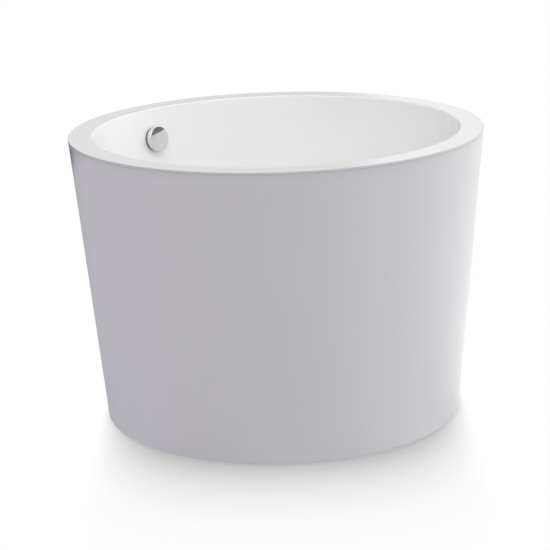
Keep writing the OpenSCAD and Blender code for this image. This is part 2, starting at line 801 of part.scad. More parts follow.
// The overflow's body is a cup behind the wall, with a spigot for the pipe and a gland for the cable
module overflow_body() {
    inside_w = cup_back_w + cup_wall;
    color(white_plastic) on_wall() difference() {
        union() {
            difference() {
                union() {
                    translate([0, 0, cup_back_w]) cylinder(r = cup_r, h = body_front_w - cup_back_w);
                    translate([0, 0, body_front_w - 3]) cylinder(r = body_lip_r, h = 3);
                    translate([0, 0, pipe_w]) rotate([90, 0, 0]) cylinder(r = spigot_r, h = -spigot_end_v);
                    translate([cable_x, 0, pipe_w]) rotate([90, 0, 0])
                        cylinder(r = gland_r, h = -gland_end_v);
                }
                translate([0, 0, inside_w]) cylinder(r = cup_r - cup_wall, h = -cup_back_w);
            }
            translate([0, 0, cup_back_w + 1]) cylinder(r = rosette_hub_r - 1, h = cup_wall + back_hub_l - 1);
            for (x = [-screw_x, screw_x]) translate([x, 0, cup_back_w + 1])
                cylinder(r = screw_boss_r, h = body_front_w - cup_back_w - 1);
        }
        translate([0, 0, inside_w]) cylinder(r = spindle_r + run_gap, h = -cup_back_w);
        for (x = [-screw_x, screw_x]) translate([x, 0, -screw_l - 1])
            cylinder(r = screw_r + run_gap, h = screw_l);
        translate([0, 0, pipe_w]) rotate([90, 0, 0]) {
            translate([0, 0, cup_r - 12]) cylinder(r = pipe_bore_r, h = -spigot_end_v);
            translate([0, 0, -spigot_end_v - socket_depth]) cylinder(r = socket_r, h = socket_depth + 1);
        }
        translate([cable_x, 0, pipe_w]) rotate([90, 0, 0]) {
            cylinder(r = wire_r, h = -gland_end_v);
            translate([0, 0, -gland_end_v - gland_bore]) cylinder(r = cable_r + run_gap, h = gland_bore + 1);
        }
    }
}

module overflow_nut() {
    color(grey_plastic) down_wall(0, spigot_end_v) pipe_nut();
}

module overflow_seal() {
    color(rubber) down_wall(0, spigot_end_v) pipe_seal();
}

module overflow_pipe() {
    color(white_plastic) wall_run(
        0, spigot_end_v + socket_depth, inlet_z, inlet_end_y - socket_depth, pipe_bend, pipe_r, pipe_bore_r);
}

module cable_sheath() {
    color(black_plastic) wall_run(
        cable_x, gland_end_v + gland_bore, cable_z, gland_end_y - gland_bore, cable_bend, cable_r, 0);
}

// A clip grips the pipe, which runs along Z through its origin, and the sheath at [x, y]
module clip(x, y) {
    reach = norm([x, y]);
    difference() {
        union() {
            cylinder(r = pipe_r + clip_t, h = clip_w);
            translate([x, y, 0]) cylinder(r = cable_r + clip_t, h = clip_w);
            rotate([0, 0, atan2(y, x)]) translate([0, -clip_t, 0]) cube([reach, 2 * clip_t, clip_w]);
        }
        translate([0, 0, -1]) cylinder(r = pipe_r + run_gap, h = clip_w + 2);
        translate([x, y, -1]) cylinder(r = cable_r + run_gap, h = clip_w + 2);
    }
}

module cable_clips() {
    color(grey_plastic) {
        for (v = wall_clip_vs) down_wall(0, v) clip(cable_x, 0);
        for (y = floor_clip_ys) along_y(0, y, inlet_z) clip(cable_x, inlet_z - cable_z);
    }
}

basin();
skirt();
rim_bond();
skirt_hoop();
base_board();
rail(-1);  // rail_left
rail(1);  // rail_right
rail_end_caps();
rail_screws();
rail_weld_nuts();
foot_lock_nuts();
for (i = [0 : 3]) {
    skirt_strap(corner_signs[i]);
    foot_stud(corner_signs[i]);
    foot_pad(corner_signs[i]);
}
strap_bolts();
hoop_screws();
drain_flange();
flange_gasket();
body_gasket();
waste_body();
inlet_nut();
inlet_seal();
drain_plug();
plug_stem();
plug_seal();
lift_lever();
lever_pin();
overflow_knob();
knob_grub_screw();
knob_spindle();
cable_drum();
overflow_rosette();
overflow_screws();
overflow_gasket();
overflow_body();
overflow_nut();
overflow_seal();
overflow_pipe();
cable_sheath();
cable_clips();
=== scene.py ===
"""Round free-standing bathtub: the looks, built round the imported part.

Lengths are in metres, with +Z up. The origin is on the floor under the middle, and the overflow is at +Y.
"""
import json
from math import atan2, ceil, cos, hypot, pi, radians, sin, sqrt, tan

import bmesh
import bpy
from mathutils import Matrix, Vector


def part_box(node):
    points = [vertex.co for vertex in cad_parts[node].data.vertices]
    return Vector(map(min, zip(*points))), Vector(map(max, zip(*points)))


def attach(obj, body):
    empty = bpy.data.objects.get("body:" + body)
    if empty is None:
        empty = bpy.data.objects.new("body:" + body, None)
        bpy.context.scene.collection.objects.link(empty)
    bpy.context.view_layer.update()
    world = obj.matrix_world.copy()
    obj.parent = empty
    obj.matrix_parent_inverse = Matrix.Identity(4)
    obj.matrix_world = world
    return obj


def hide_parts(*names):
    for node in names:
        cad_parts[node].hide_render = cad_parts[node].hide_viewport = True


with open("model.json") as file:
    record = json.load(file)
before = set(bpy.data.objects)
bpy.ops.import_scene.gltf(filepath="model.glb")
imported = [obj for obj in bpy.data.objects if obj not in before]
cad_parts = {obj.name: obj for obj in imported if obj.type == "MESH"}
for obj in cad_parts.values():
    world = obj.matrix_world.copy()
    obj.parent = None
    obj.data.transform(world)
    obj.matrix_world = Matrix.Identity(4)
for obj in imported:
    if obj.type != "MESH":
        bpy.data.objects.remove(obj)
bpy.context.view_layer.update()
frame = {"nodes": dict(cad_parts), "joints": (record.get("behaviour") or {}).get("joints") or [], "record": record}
MM = 0.001

# Sizes of the shell. The radii named for an edge are those of its rounding
TUB_R = 525 * MM
TUB_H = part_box("basin")[1].z
BASE_R = 460 * MM
RIM_W = 60 * MM
RIM_T = 7 * MM
RIM_EDGE_R = 1.2 * MM
WELL_EDGE_R = 4 * MM
WELL_UNDER_R = 4 * MM
WELL_SLOPE = radians(9)
FLOOR_R = 90 * MM
FLOOR_FALL = 5 * MM
BASIN_T = 7 * MM
RECESS_D = 5 * MM
RECESS_R = 41 * MM
RECESS_LOW_R = 2 * MM
RECESS_TOP_R = 3 * MM
DRAIN_HOLE_R = 26 * MM
DRAIN_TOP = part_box("drain_flange")[1].z
LAND_R = 33 * MM
WALL_HOLE_R = 26 * MM
SKIRT_T = 5 * MM
SKIRT_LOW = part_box("skirt")[0].z
SKIRT_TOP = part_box("skirt")[1].z
SKIRT_FOOT_R = 1.5 * MM
SKIRT_UNDER_R = 6 * MM
SKIRT_FLANGE_W = 30 * MM
FLANGE_EDGE_R = 1 * MM
SEAM_DEPTH = 3 * MM
LONGEST_STRETCH = 30 * MM

# A shell's zones, which are its material numbers: what shows, the laminate on its hidden side and the rim's outer edge
SHOWN, HIDDEN, EDGE = 0, 1, 2

# Where the skirt's colour goes over to a darker one, painted shade under the rim's edge, measured down from the top of
# the rim
RIM_SHADE_FROM = 25 * MM
RIM_SHADE_TO = 4 * MM

# Sizes of the knob, along its axis from the wall
KNOB_R = 32.5 * MM
KNOB_BACK = 7 * MM
KNOB_T = 16 * MM
KNOB_DOME = 1 * MM
KNOB_EDGE_R = 1.2 * MM
KNOB_WALL_T = 3.5 * MM
KNOB_HOLLOW_D = 12 * MM
KNOB_HUB_R = 9 * MM
KNOB_FACE_STEPS = 12
SPINDLE_R = 4.05 * MM
GRUB_HOLE_R = 2.05 * MM
GRUB_HOLE_W = 13 * MM

# Sizes of the drain's flange, sleeve and seat
DRAIN_FLANGE_R = 36 * MM
DRAIN_FLANGE_T = 4 * MM
DRAIN_FLANGE_EDGE_R = 1.5 * MM
SLEEVE_R = 25 * MM
THROAT_R = 22 * MM
SEAT_R = 23 * MM
SEAT_TOP_R = 31 * MM
SEAT_FALL = 5 * MM

# Sizes of the plug's cap, with heights from its underside
PLUG_R = 28 * MM
PLUG_STEM_R = 4.05 * MM
PLUG_STEM_D = 2 * MM
PLUG_CHAMFER = 1 * MM
PLUG_EDGE_H = 2.2 * MM
PLUG_CROWN_R = 23 * MM
PLUG_CROWN_H = 4.2 * MM
PLUG_BLEND_R = 6 * MM

# Sizes of the feet. The thread's depth, crest and root are shares of its pitch
STUD_R = 6 * MM
STUD_PITCH = 1.75 * MM
THREAD_DEPTH = 0.54
THREAD_CREST = 1 / 8
THREAD_ROOT = 1 / 4
COLLAR_R = 10.2 * MM
COLLAR_LOW = 14 * MM
COLLAR_H = 10 * MM
CHAMFER_FROM = 0.97
CHAMFER_SLOPE = radians(30)

# Two plies of the plywood together, one with its grain across the other's
PLY_PAIR_T = 3 * MM

# Distances that count as none: from the axis, between points that are one, and from a plane
ON_AXIS = 1e-9
ONE_POINT = 1e-7
ON_PLANE = 1e-6

# How finely round things are cut, and the angle from which an edge stays sharp
ARC_STEP = radians(6)
SHARP_FROM = radians(28)
SHELL_SEGMENTS = 360
SMALL_SEGMENTS = 128
CHAMFER_SEGMENTS = 72
THREAD_SEGMENTS = 40
KEY_SEGMENTS = 32

# The photograph's camera, and directions seen from the tub, named as the camera sees them
CAMERA_YAW = radians(46.45)
CAMERA_PITCH = radians(15.509)
CAMERA_ROLL = radians(1.808)
CAMERA_LENS = 122.745
CAMERA_SEES_TO = 200
TO_BACK = Vector((sin(CAMERA_YAW), cos(CAMERA_YAW), 0))
TO_RIGHT = Vector((cos(CAMERA_YAW), -sin(CAMERA_YAW), 0))
UP = Vector((0, 0, 1))
CAMERA_PLACE = -0.0132 * TO_RIGHT - 4.6817 * TO_BACK + 1.6473 * UP

# Soft lights round the room: the way round from the right towards the back and the height, both in degrees, the
# cosines where the light starts and where it is full, whether the window's edge cuts it off, and its colour
ROOM_LIGHTS = {
    "right_wide": (0, 8, 0.3, 0.96, False, (0.317, 0.318, 0.314)),
    "right_low": (0, 8, 0.7, 0.96, False, (0.306, 0.307, 0.305)),
    "right_high": (0, 35, 0.6, 0.96, False, (0.749, 0.752, 0.738)),
    "right_strip": (20, 6, 0.9, 0.995, False, (0.376, 0.378, 0.375)),
    "back_right_strip": (40, 6, 0.9, 0.995, False, (0.251, 0.252, 0.25)),
    "window_wide": (60, 12, 0.5, 0.96, True, (0.423, 0.43, 0.414)),
    "window": (72, 14, 0.85, 0.99, True, (0.092, 0.095, 0.095)),
    "window_edge": (80, 15, 0.96, 0.998, True, (0.042, 0.042, 0.049)),
    "back_strip": (100, 6, 0.9, 0.995, False, (0.451, 0.437, 0.449)),
    "back_left": (135, 8, 0.7, 0.96, False, (0.373, 0.378, 0.371)),
    "left_low": (180, 8, 0.7, 0.96, False, (0.103, 0.102, 0.104)),
    "left_high": (180, 35, 0.6, 0.96, False, (0.262, 0.266, 0.254)),
    "front_left_high": (225, 35, 0.6, 0.96, False, (0.407, 0.403, 0.414)),
    "front_left_top": (225, 55, 0.75, 0.96, False, (0.52, 0.521, 0.511)),
    "front_high": (270, 35, 0.6, 0.96, False, (0.345, 0.334, 0.359)),
    "front_top": (270, 55, 0.75, 0.96, False, (0.574, 0.573, 0.569)),
    "front_right_high": (315, 35, 0.6, 0.96, False, (0.188, 0.181, 0.193)),
    "front_right_top": (315, 55, 0.75, 0.96, False, (0.454, 0.454, 0.444)),
}
# The cosines, measured from the right, where the window's edge starts and where it ends
WINDOW_EDGE = (0.035, 0.065)

# A dark card that gloss alone sees: its direction, the cosines where it starts and where it is full, and its tone
DARK_CARD = (TO_RIGHT - 0.15 * TO_BACK + 0.45 * UP, 0.77, 0.87, 0.17)

# Light from one side of the floor: the way round in degrees, the cosine where it starts, and its colour
FLOOR_LIGHTS = {
    "right": (0, 0.3, (0.230, 0.231, 0.233)),
    "back_right": (45, 0.3, (0.540, 0.547, 0.530)),
    "left": (180, 0.3, (0.217, 0.201, 0.244)),
}
FLOOR_REACH = 60
FLOOR_BOUNCE = 0.4

# The part of the floor that gloss sees as black: the way round in degrees, the cosines where it starts and where it
# is full, and the distances from the middle where it starts and where it is full
DARK_FLOOR = (115, 0.80, 0.90, 2.85, 3.2)

# The tub's shade on the floor that the camera sees: how deep it is, the tone below which it never goes, and how it
# falls off along each axis, given as the distance where it ends and the two powers of its curve
SHADE_DEPTH = 2.68
SHADE_LEAST = 0.50
SHADE_BACK = (1.743, 1.22, 8.0)
SHADE_ACROSS = (0.474, 2.19, 1.1)

# The darker line where the tub nearly touches the floor: how far it reaches, and the share of light left in it
CONTACT_REACH = 12 * MM
CONTACT_LEAST = 0.8
CONTACT_SAMPLES = 24


def node(tree, kind, inputs=None, **settings):
    """A new shader node. Each input is a value, or a socket that is linked to it."""
    made = tree.nodes.new(kind)
    for key, value in settings.items():
        setattr(made, key, value)
    for key, value in (inputs or {}).items():
        if isinstance(value, bpy.types.NodeSocket):
            tree.links.new(value, made.inputs[key])
        else:
            made.inputs[key].default_value = value
    return made


def maths(tree, operation, *values):
    """The result of an operation on values or sockets."""
    return node(tree, "ShaderNodeMath", dict(enumerate(values)), operation=operation).outputs[0]


def noise(tree, place, scale, detail=2.0, roughness=0.5):
    """Noise whose grain is about 1 / scale metres wide."""
    return node(tree, "ShaderNodeTexNoise",
                {"Vector": place, "Scale": scale, "Detail": detail, "Roughness": roughness}).outputs["Fac"]


def spread(tree, value, low, high):
    """Maps the middle of a noise's range to low ... high."""
    return node(tree, "ShaderNodeMapRange",
                {"Value": value, "From Min": 0.3, "From Max": 0.7, "To Min": low, "To Max": high}).outputs[0]


def mixed(tree, factor, first, second):
    """A colour between two, each a colour or a socket."""
    made = node(tree, "ShaderNodeMix", {0: factor}, data_type="RGBA")
    for socket, value in ((made.inputs[6], first), (made.inputs[7], second)):
        if isinstance(value, bpy.types.NodeSocket):
            tree.links.new(value, socket)
        else:
            socket.default_value = (*value, 1)
    return made.outputs[2]


def bumped(tree, height, distance, before=None):
    """A normal that height lifts by distance."""
    inputs = {"Height": height, "Distance": distance, "Strength": 1.0}
    if before is not None:
        inputs["Normal"] = before
    return node(tree, "ShaderNodeBump", inputs).outputs[0]


def material(name, **values):
    """A new material. Returns it with its tree, its principled shader and the place in the part's own frame."""
    made = bpy.data.materials.new(name)
    made.use_nodes = True
    tree = made.node_tree
    shader = tree.nodes["Principled BSDF"]
    for key, value in values.items():
        shader.inputs[key.replace("_", " ")].default_value = value
    place = node(tree, "ShaderNodeTexCoord").outputs["Object"]
    return made, tree, shader, place


def stretched(tree, place, scale):
    """The place with each axis scaled, for noise that is finer one way than another."""
    return node(tree, "ShaderNodeMapping", {"Vector": place, "Scale": scale}).outputs[0]


def acrylic(name, colour, painted_rim_shade=None):
    """Gloss sanitary acrylic: faint broad waves from forming, a finer orange peel and slight cloudiness. Its colour
    goes over to a second, darker colour just below the rim: painted shade under the rim's edge."""
    made, tree, shader, place = material(name, IOR=1.49)
    cloud = noise(tree, place, scale=5, detail=3)
    tint = mixed(tree, spread(tree, cloud, 0, 1), colour, tuple(0.985 * c for c in colour))
    # Painted shade: the colour darkens towards the top, just under the rim's edge
    if painted_rim_shade:
        height = node(tree, "ShaderNodeSeparateXYZ", {"Vector": place}).outputs["Z"]
        rim_shade_share = node(tree, "ShaderNodeMapRange", {"Value": height, "From Min": TUB_H - RIM_SHADE_FROM,
                                                     "From Max": TUB_H - RIM_SHADE_TO}).outputs[0]
        tint = mixed(tree, rim_shade_share, tint, painted_rim_shade)
    tree.links.new(tint, shader.inputs["Base Color"])
    gloss = noise(tree, place, scale=18, detail=4)
    tree.links.new(spread(tree, gloss, 0.12, 0.17), shader.inputs["Roughness"])
    waves = bumped(tree, noise(tree, place, scale=7, detail=1), 0.35 * MM)
    peel = bumped(tree, noise(tree, place, scale=300), 0.004 * MM, waves)
    tree.links.new(peel, shader.inputs["Normal"])
    return made


def laminate():
    """The resin and chopped glass on the acrylic's hidden side: short strands that lie every way."""
    made, tree, shader, place = material("glass_laminate", IOR=1.52)
    strands = None
    for quarter_turns in (0.3, 1.1, 1.9, 2.7):
        turned = node(tree, "ShaderNodeVectorRotate",
                      {"Vector": place, "Axis": (0.3, 0.5, 0.8), "Angle": quarter_turns * pi / 2}).outputs[0]
        layer = noise(tree, stretched(tree, turned, (900, 60, 500)), scale=1)
        strands = layer if strands is None else maths(tree, "MAXIMUM", strands, layer)
    tint = mixed(tree, spread(tree, strands, 0, 1), (0.60, 0.57, 0.43), (0.80, 0.78, 0.66))
    pools = spread(tree, noise(tree, place, scale=14, detail=3), 0, 0.5)
    tree.links.new(mixed(tree, pools, tint, (0.70, 0.62, 0.40)), shader.inputs["Base Color"])
    tree.links.new(spread(tree, noise(tree, place, scale=40), 0.25, 0.5), shader.inputs["Roughness"])
    tree.links.new(bumped(tree, strands, 0.5 * MM), shader.inputs["Normal"])
    return made


def plywood(name, flat):
    """Birch plywood, either a flat board with its plies one above the other, or a bent hoop with its plies nested."""
    made, tree, shader, place = material(name)
    x, y, z = node(tree, "ShaderNodeSeparateXYZ", {"Vector": place}).outputs
    radius = maths(tree, "SQRT", maths(tree, "ADD", maths(tree, "MULTIPLY", x, x), maths(tree, "MULTIPLY", y, y)))
    normal = node(tree, "ShaderNodeNewGeometry").outputs["Normal"]
    rise = maths(tree, "ABSOLUTE", node(tree, "ShaderNodeSeparateXYZ", {"Vector": normal}).outputs["Z"])
    on_edge = maths(tree, "LESS_THAN" if flat else "GREATER_THAN", rise, 0.5)
    ply = maths(tree, "FRACT", maths(tree, "MULTIPLY", z if flat else radius, 1 / PLY_PAIR_T))
    cross_ply = maths(tree, "GREATER_THAN", ply, 0.5)
    glue = maths(tree, "LESS_THAN", maths(tree, "ABSOLUTE", maths(tree, "SUBTRACT", ply, 0.5)), 0.04)
    grain_scale = (6, 120, 120) if flat else (120, 120, 8)
    grain = noise(tree, stretched(tree, place, grain_scale), scale=1, detail=6, roughness=0.65)
    face = mixed(tree, spread(tree, grain, 0, 1), (0.62, 0.44, 0.26), (0.78, 0.62, 0.42))
    figure = mixed(tree, spread(tree, noise(tree, place, scale=9), 0, 0.35), face, (0.55, 0.37, 0.20))
    end = mixed(tree, cross_ply, (0.70, 0.53, 0.33), (0.42, 0.28, 0.15))
    end = mixed(tree, glue, end, (0.20, 0.11, 0.05))
    tree.links.new(mixed(tree, on_edge, figure, end), shader.inputs["Base Color"])
    tree.links.new(spread(tree, grain, 0.42, 0.6), shader.inputs["Roughness"])
    tree.links.new(bumped(tree, grain, 0.15 * MM), shader.inputs["Normal"])
    return made


def zinc_steel():
    """Bright zinc plate: a cold metal with a faint blue and yellow cast and drawn marks."""
    made, tree, shader, place = material("zinc_plate", Metallic=1.0)
    cast = spread(tree, noise(tree, place, scale=30, detail=3), 0, 1)
    tree.links.new(mixed(tree, cast, (0.60, 0.64, 0.70), (0.70, 0.69, 0.64)), shader.inputs["Base Color"])
    drawn = noise(tree, stretched(tree, place, (700, 25, 700)), scale=1, detail=3)
    tree.links.new(spread(tree, drawn, 0.24, 0.42), shader.inputs["Roughness"])
    tree.links.new(bumped(tree, drawn, 0.02 * MM), shader.inputs["Normal"])
    return made


def chrome():
    """Polished chrome plate, with faint wiping marks."""
    made, tree, shader, place = material("chrome_plate", Metallic=1.0)
    haze = spread(tree, noise(tree, place, scale=60, detail=3), 0, 1)
    tree.links.new(mixed(tree, haze, (0.86, 0.86, 0.86), (0.83, 0.83, 0.84)), shader.inputs["Base Color"])
    wiped = noise(tree, stretched(tree, place, (260, 900, 260)), scale=1, detail=3)
    tree.links.new(spread(tree, wiped, 0.045, 0.085), shader.inputs["Roughness"])
    tree.links.new(bumped(tree, noise(tree, place, scale=45, detail=1), 0.01 * MM), shader.inputs["Normal"])
    return made


def moulded(name, colour, roughness, grain=1400, depth=0.02 * MM):
    """Moulded plastic or rubber with a fine spark-eroded texture."""
    made, tree, shader, place = material(name, IOR=1.50)
    flow = noise(tree, place, scale=22, detail=3)
    tint = mixed(tree, spread(tree, flow, 0, 1), colour, tuple(0.9 * c for c in colour))
    tree.links.new(tint, shader.inputs["Base Color"])
    tree.links.new(spread(tree, flow, roughness - 0.05, roughness + 0.05), shader.inputs["Roughness"])
    tree.links.new(bumped(tree, noise(tree, place, grain, detail=1), depth), shader.inputs["Normal"])
    return made


FINISHES = {
    "acrylic_inside": acrylic("acrylic_white", (0.93, 0.93, 0.93)),
    # The skirt is the same white acrylic as the well: its darker, lavender-tinted colour is painted shade, and its
    # second colour is darker painted shade just below the rim
    "acrylic_outside": acrylic("acrylic_skirt_painted_shade", (0.71, 0.70, 0.735), (0.66, 0.65, 0.68)),
    "adhesive": moulded("cured_adhesive", (0.62, 0.60, 0.54), 0.5, grain=500, depth=0.1 * MM),
    "plywood": plywood("plywood_board", flat=True),
    "zinc_steel": zinc_steel(),
    "black_plastic": moulded("plastic_black", (0.025, 0.025, 0.028), 0.5),
    "chrome": chrome(),
    "rubber": moulded("rubber_black", (0.02, 0.02, 0.022), 0.75, grain=900, depth=0.03 * MM),
    "white_plastic": moulded("plastic_white", (0.78, 0.78, 0.75), 0.38),
    "grey_plastic": moulded("plastic_grey", (0.24, 0.25, 0.26), 0.42),
}
LAMINATE = laminate()
BENT_PLYWOOD = plywood("plywood_hoop", flat=False)


def finish_nodes():
    """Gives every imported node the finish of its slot."""
    slot_of = {row["node"]: row["material_slot"] for row in frame["record"]["subparts"]}
    for name, obj in frame["nodes"].items():
        for held in obj.material_slots:
            held.material = FINISHES[slot_of[name]]
    for held in frame["nodes"]["skirt_hoop"].material_slots:
        held.material = BENT_PLYWOOD


def rounded(corners):
    """The outline of corners given as (x, y, radius) or (x, y, radius, zone). Each of its points is (x, y, zone), with
    the zone of the stretch that starts there."""
    outline = []
    for i, (x, y, radius, *zones) in enumerate(corners):
        zone = zones[0] if zones else SHOWN
        if radius <= 0:
            outline.append((x, y, zone))
            continue
        here = Vector((x, y))
        to_before = (Vector(corners[i - 1][:2]) - here).normalized()
        to_after = (Vector(corners[(i + 1) % len(corners)][:2]) - here).normalized()
        half = to_before.angle(to_after) / 2
        middle = here + (to_before + to_after).normalized() * radius / sin(half)
        first = here + to_before * radius / tan(half) - middle
        last = here + to_after * radius / tan(half) - middle
        start = atan2(first.y, first.x)
        sweep = (atan2(last.y, last.x) - start + 3 * pi) % (2 * pi) - pi
        steps = max(2, ceil(abs(sweep) / ARC_STEP))
        for k in range(steps + 1):
            angle = start + sweep * k / steps
            outline.append((middle.x + radius * cos(angle), middle.y + radius * sin(angle), zone))
    return outline


def split_long(outline, longest):
    """The outline with its long stretches split evenly."""
    made = []
    for i, (x, y, zone) in enumerate(outline):
        after = outline[(i + 1) % len(outline)]
        parts = max(1, ceil(hypot(after[0] - x, after[1] - y) / longest))
        made += [(x + (after[0] - x) * k / parts, y + (after[1] - y) * k / parts, zone) for k in range(parts)]
    return made


def linked(name, data):
    """A new object of the scene."""
    obj = bpy.data.objects.new(name, data)
    bpy.context.scene.collection.objects.link(obj)
    return obj


def new_mesh(name, verts, faces):
    """A mesh of the given points and faces."""
    mesh = bpy.data.meshes.new(name)
    mesh.from_pydata(verts, [], faces)
    return mesh


def tidy_mesh(mesh):
    """Turns the faces outwards and shades them smooth between sharp edges."""
    work = bmesh.new()
    work.from_mesh(mesh)
    bmesh.ops.remove_doubles(work, verts=work.verts, dist=ONE_POINT)
    bmesh.ops.dissolve_degenerate(work, edges=work.edges, dist=ONE_POINT)
    bmesh.ops.recalc_face_normals(work, faces=work.faces)
    work.to_mesh(mesh)
    work.free()
    mesh.shade_smooth()
    mesh.set_sharp_from_angle(angle=SHARP_FROM)


def lathe(name, corners, segments, longest=None):
    """Turns the rounded outline of corners, which are (radius, height, rounding), about Z. A radius of 0 is one point
    on the axis. Stretches over longest are split."""
    outline = rounded(corners)
    if longest:
        outline = split_long(outline, longest)
    rings, verts = [], []
    for r, z, _ in outline:
        turns = 1 if r < ON_AXIS else segments
        rings.append([len(verts) + k for k in range(turns)])
        verts += [(r * cos(2 * pi * k / segments), r * sin(2 * pi * k / segments), z) for k in range(turns)]
    faces, zones = [], []
    for j, (_, _, zone) in enumerate(outline):
        low, high = rings[j], rings[(j + 1) % len(rings)]
        if len(low) == len(high) == 1:
            continue
        for k in range(segments):
            after = (k + 1) % segments
            around = [low[k % len(low)], low[after % len(low)], high[after % len(high)], high[k % len(high)]]
            faces.append(list(dict.fromkeys(around)))
            zones.append(zone)
    mesh = new_mesh(name, verts, faces)
    mesh.polygons.foreach_set("material_index", zones)
    tidy_mesh(mesh)
    return linked(name, mesh)


def combine(obj, other, operation):
    """Cuts another object out of one, or keeps what both share, and removes the other."""
    change = obj.modifiers.new("combine", "BOOLEAN")
    change.operation = operation
    change.solver = "EXACT"
    change.object = other
    bpy.context.view_layer.update()
    final = bpy.data.meshes.new_from_object(obj.evaluated_get(bpy.context.evaluated_depsgraph_get()))
    obj.modifiers.clear()
    obj.data = final
    bpy.data.objects.remove(other)
    tidy_mesh(final)


def clad(obj, finishes):
    """Gives a piece its materials and keeps its faces' zones, which clearing the old ones would lose."""
    zones = [face.material_index for face in obj.data.polygons]
    obj.data.materials.clear()
    for finish in finishes:
        obj.data.materials.append(finish)
    obj.data.polygons.foreach_set("material_index", zones)


def dress(obj, body, slot, *nodes, finishes=None):
    """Gives a piece its materials, its slot's finish unless others are given, and its body, and hides the nodes that
    it stands for.
    """
    clad(obj, finishes or [FINISHES[slot]])
    even = obj.modifiers.new("even", "WEIGHTED_NORMAL")
    even.keep_sharp = True
    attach(obj, body)
    if nodes:
        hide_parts(*nodes)


def wall_matrix():
    """From the overflow's own frame, X across, Y up the wall and Z into the well, to the part's frame."""
    joint = next(j for j in frame["joints"] if j["name"] == "knob_turn")
    out = Vector(joint["axis"]).normalized()
    across = Vector((1, 0, 0))
    turn = Matrix((across, out.cross(across), out)).transposed()
    return Matrix.Translation(joint["pos_m"]) @ turn.to_4x4()


def on_wall(obj):
    """Moves a piece made round Z to the overflow's place."""
    obj.data.transform(wall_matrix())
    return obj


def skirt_out(z):
    """The skirt's outer radius at a height."""
    return BASE_R + (TUB_R - BASE_R) * z / TUB_H


def skirt_in(z):
    """The skirt's inner radius at a height."""
    return skirt_out(z) - SKIRT_T * hypot(TUB_R - BASE_R, TUB_H) / TUB_H


def well_in(z):
    """The well's radius at a height, on the side that shows."""
    return TUB_R - RIM_W - (TUB_H - z) * tan(WELL_SLOPE)


def well_out(z):
    """The well's radius at a height, on its hidden side."""
    return well_in(z) + BASIN_T / cos(WELL_SLOPE)


def basin():
    """The well and the rim in one shell, with the recess of the drain and the hole of the overflow."""
    floor_z, edge_z = DRAIN_TOP, DRAIN_TOP + FLOOR_FALL
    under_z, rim_low = DRAIN_TOP - BASIN_T, TUB_H - RIM_T
    shell = lathe("basin_shell", [
        (DRAIN_HOLE_R, floor_z - RECESS_D, 0),
        (RECESS_R, floor_z - RECESS_D, RECESS_LOW_R),
        (RECESS_R + RECESS_D, floor_z, RECESS_TOP_R),
        (well_in(edge_z), edge_z, FLOOR_R),
        (TUB_R - RIM_W, TUB_H, WELL_EDGE_R),
        (TUB_R, TUB_H, RIM_EDGE_R, EDGE),
        (skirt_out(rim_low), rim_low, FLANGE_EDGE_R, EDGE),
        (skirt_out(rim_low) - SEAM_DEPTH, rim_low, 0, HIDDEN),
        (well_out(rim_low), rim_low, WELL_UNDER_R, HIDDEN),
        (well_out(under_z), under_z, FLOOR_R + BASIN_T, HIDDEN),
        (RECESS_R + RECESS_D + RECESS_TOP_R, under_z, RECESS_TOP_R, HIDDEN),
        (RECESS_R + RECESS_TOP_R, under_z - RECESS_D, RECESS_LOW_R, HIDDEN),
        (DRAIN_HOLE_R, under_z - RECESS_D, 0, HIDDEN),
    ], SHELL_SEGMENTS, LONGEST_STRETCH)
    # The rim's outer edge takes the skirt's colour, which is painted shade on the white acrylic
    finishes = [FINISHES["acrylic_inside"], LAMINATE, FINISHES["acrylic_outside"]]
    clad(shell, finishes)
    hole = on_wall(lathe("overflow_cutter", [
        (0, -2 * BASIN_T, 0),
        (WALL_HOLE_R, -2 * BASIN_T, 0),
        (WALL_HOLE_R, 0, 0),
        (LAND_R, 0, 0),
        (LAND_R, BASIN_T, 0),
        (0, BASIN_T, 0),
    ], SMALL_SEGMENTS))
    combine(shell, hole, "DIFFERENCE")
    dress(shell, "tub", "acrylic_inside", "basin", finishes=finishes)


def skirt():
    """The tapered outer shell, with its flange under the rim."""
    flange_low = SKIRT_TOP - SKIRT_T
    flange_in = skirt_out(SKIRT_TOP) - SKIRT_FLANGE_W
    shell = lathe("skirt_shell", [
        (skirt_out(SKIRT_LOW), SKIRT_LOW, SKIRT_FOOT_R),
        (skirt_out(SKIRT_TOP), SKIRT_TOP, FLANGE_EDGE_R),
        (skirt_out(SKIRT_TOP) - SEAM_DEPTH, SKIRT_TOP, 0, HIDDEN),
        (flange_in, SKIRT_TOP, FLANGE_EDGE_R, HIDDEN),
        (flange_in, flange_low, FLANGE_EDGE_R, HIDDEN),
        (skirt_in(flange_low), flange_low, SKIRT_UNDER_R, HIDDEN),
        (skirt_in(SKIRT_LOW), SKIRT_LOW, SKIRT_FOOT_R),
    ], SHELL_SEGMENTS, LONGEST_STRETCH)
    dress(shell, "tub", "acrylic_outside", "skirt", finishes=[FINISHES["acrylic_outside"], LAMINATE])


